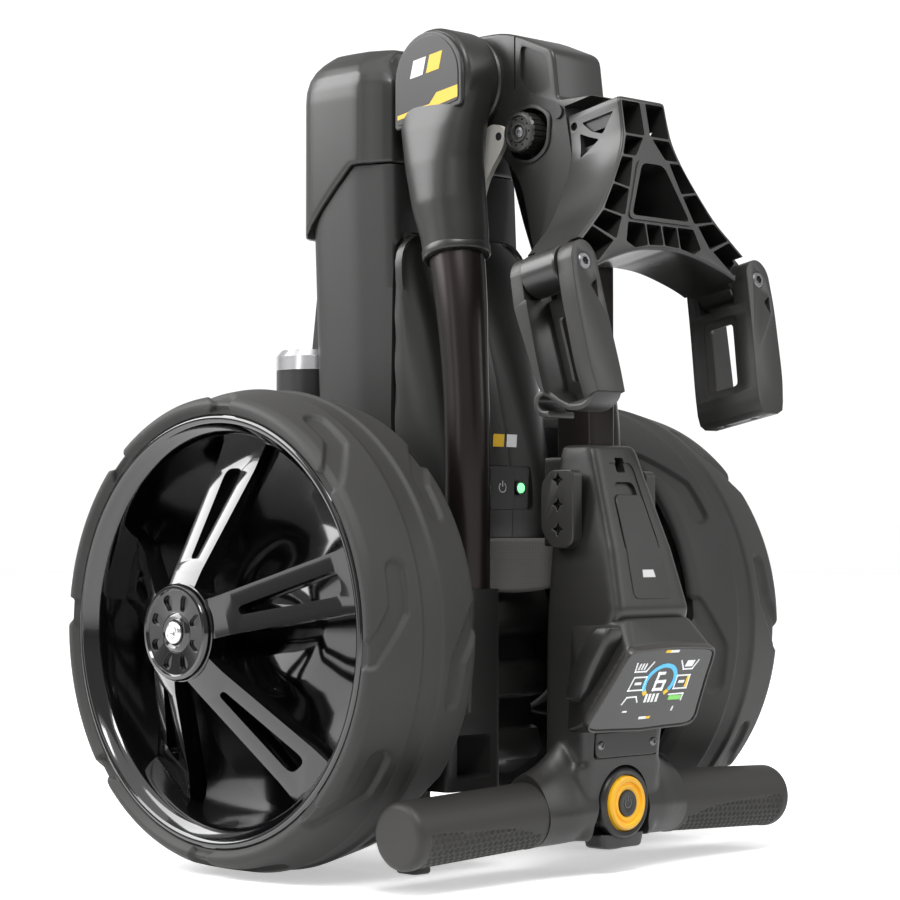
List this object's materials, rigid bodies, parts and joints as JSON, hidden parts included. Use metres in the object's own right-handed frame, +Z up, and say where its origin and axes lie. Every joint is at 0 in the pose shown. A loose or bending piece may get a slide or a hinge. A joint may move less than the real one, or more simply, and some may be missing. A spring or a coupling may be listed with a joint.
{
  "type": "electric golf trolley",
  "caption": "Folded electric golf trolley standing on end: split-spoke drive wheels, battery, twin side tubes, folding mast with bag arms, grip bar with display and a stowed front wheel.",
  "frame": {"origin": "on the floor, midway between the two rear wheels and straight under their shared axle", "axes": "+Z up in the folded standing pose, X along the rear axle, -Y towards the display and the fold-down mast"},
  "size_m": [0.43, 0.4402, 0.5145],
  "materials": {
    "charcoal_plastic": "matte moulded",
    "grey_plastic": "satin moulded",
    "black_plastic": "gloss",
    "motor_steel": "black coated",
    "bright_metal": "brushed",
    "bronze_paint": "satin anodised",
    "tyre_rubber": "matte",
    "grip_rubber": "hex textured",
    "webbing": "woven",
    "pale_plastic": "satin",
    "led_lens": "lit",
    "screen_glass": "gloss, printed display",
    "yellow_plastic": "gloss"
  },
  "bodies": {
    "chassis": {"axle_housing": "charcoal_plastic", "motor_mount": "black_plastic", "gearbox_left": "grey_plastic", "gearbox_right": "grey_plastic", "motor_body": "motor_steel", "motor_end_cap": "bright_metal", "tube_socket_left": "charcoal_plastic", "tube_socket_right": "charcoal_plastic", "side_tube_left": "bronze_paint", "side_tube_right": "bronze_paint", "elbow_left": "charcoal_plastic", "elbow_right": "charcoal_plastic", "hinge_badges": "grey_plastic", "hinge_pin": "bright_metal", "battery_housing": "charcoal_plastic", "housing_cap": "grey_plastic", "front_pivot_pin": "bright_metal"},
    "battery": {"battery_pack": "charcoal_plastic", "power_led": "led_lens", "pull_tab": "webbing"},
    "power_switch": {"power_button": "grey_plastic"},
    "wheel_left": {"rim_left": "black_plastic", "tyre_left": "tyre_rubber", "hub_cap_left": "black_plastic", "axle_left": "bright_metal"},
    "release_left": {"release_button_left": "bright_metal"},
    "wheel_right": {"rim_right": "black_plastic", "tyre_right": "tyre_rubber", "hub_cap_right": "black_plastic", "axle_right": "bright_metal"},
    "release_right": {"release_button_right": "bright_metal"},
    "mast": {"hinge_block": "charcoal_plastic", "bag_bracket": "charcoal_plastic", "mast_tube": "bronze_paint", "bracket_screws": "bright_metal", "arm_pins": "bright_metal", "lever_pin": "bright_metal"},
    "knob": {"lock_knob": "charcoal_plastic"},
    "fold_lever": {"release_lever": "pale_plastic"},
    "arm_left": {"bag_arm_left": "charcoal_plastic"},
    "arm_right": {"bag_arm_right": "charcoal_plastic"},
    "handle": {"handle_body": "charcoal_plastic", "handle_cover": "grey_plastic", "display_bezel": "charcoal_plastic", "display_glass": "screen_glass", "screw_plate": "grey_plastic", "handle_screws": "bright_metal", "side_cheeks": "grey_plastic", "grip_bar": "charcoal_plastic", "grip_left": "grip_rubber", "grip_right": "grip_rubber", "dial_mount": "black_plastic", "clamp_lever": "grey_plastic"},
    "dial": {"dial_ring": "yellow_plastic"},
    "dial_push": {"dial_button": "grey_plastic"},
    "front_fork": {"front_arm": "charcoal_plastic", "front_axle": "bright_metal"},
    "front_wheel": {"front_rim": "black_plastic", "front_tyre": "tyre_rubber"}
  },
  "joints": [
    {"name": "mast_fold", "type": "hinge", "parent": "chassis", "child": "mast", "pos_m": [0, -0.057, 0.483], "axis": [-1, 0, 0], "range_deg": [0, 110]},
    {"name": "handle_slide", "type": "slide", "parent": "mast", "child": "handle", "axis": [0, 0, -1], "range_m": [0, 0.14]},
    {"name": "battery_slide", "type": "slide", "parent": "chassis", "child": "battery", "axis": [0, -1, 0], "range_m": [0, 0.016]},
    {"name": "power_press", "type": "slide", "parent": "battery", "child": "power_switch", "axis": [0, 1, 0], "range_m": [0, 0.0012], "stiffness_N_per_m": 300, "springref_m": -0.0005},
    {"name": "wheel_left_spin", "type": "hinge", "parent": "chassis", "child": "wheel_left", "pos_m": [-0.1425, 0, 0.145], "axis": [1, 0, 0], "continuous": true},
    {"name": "wheel_right_spin", "type": "hinge", "parent": "chassis", "child": "wheel_right", "pos_m": [0.1425, 0, 0.145], "axis": [1, 0, 0], "continuous": true},
    {"name": "release_left_press", "type": "slide", "parent": "wheel_left", "child": "release_left", "axis": [1, 0, 0], "range_m": [0, 0.0015], "stiffness_N_per_m": 400, "springref_m": -0.0005},
    {"name": "release_right_press", "type": "slide", "parent": "wheel_right", "child": "release_right", "axis": [-1, 0, 0], "range_m": [0, 0.0015], "stiffness_N_per_m": 400, "springref_m": -0.0005},
    {"name": "knob_turn", "type": "hinge", "parent": "mast", "child": "knob", "pos_m": [-0.02, -0.106, 0.4475], "axis": [-1, 0, 0], "range_deg": [0, 180]},
    {"name": "fold_lever_squeeze", "type": "hinge", "parent": "mast", "child": "fold_lever", "pos_m": [-0.0245, -0.0855, 0.4475], "axis": [1, 0, 0], "range_deg": [0, 12]},
    {"name": "arm_left_swing", "type": "hinge", "parent": "mast", "child": "arm_left", "pos_m": [-0.08, -0.17952, 0.35352], "axis": [0, 0.9816, -0.1908], "range_deg": [0, 80]},
    {"name": "arm_right_swing", "type": "hinge", "parent": "mast", "child": "arm_right", "pos_m": [0.08, -0.17952, 0.35352], "axis": [0, -0.9816, 0.1908], "range_deg": [0, 80]},
    {"name": "dial_turn", "type": "hinge", "parent": "handle", "child": "dial", "pos_m": [0, -0.162, 0.042], "axis": [0, -1, 0], "range_deg": [-135, 135]},
    {"name": "dial_press", "type": "slide", "parent": "dial", "child": "dial_push", "axis": [0, 1, 0], "range_m": [0, 0.0014], "stiffness_N_per_m": 300, "springref_m": -0.0005},
    {"name": "front_fold", "type": "hinge", "parent": "chassis", "child": "front_fork", "pos_m": [0, 0.074, 0.462], "axis": [1, 0, 0], "range_deg": [0, 100]},
    {"name": "front_spin", "type": "hinge", "parent": "front_fork", "child": "front_wheel", "pos_m": [0, 0.135, 0.085], "axis": [1, 0, 0], "continuous": true}
  ]
}
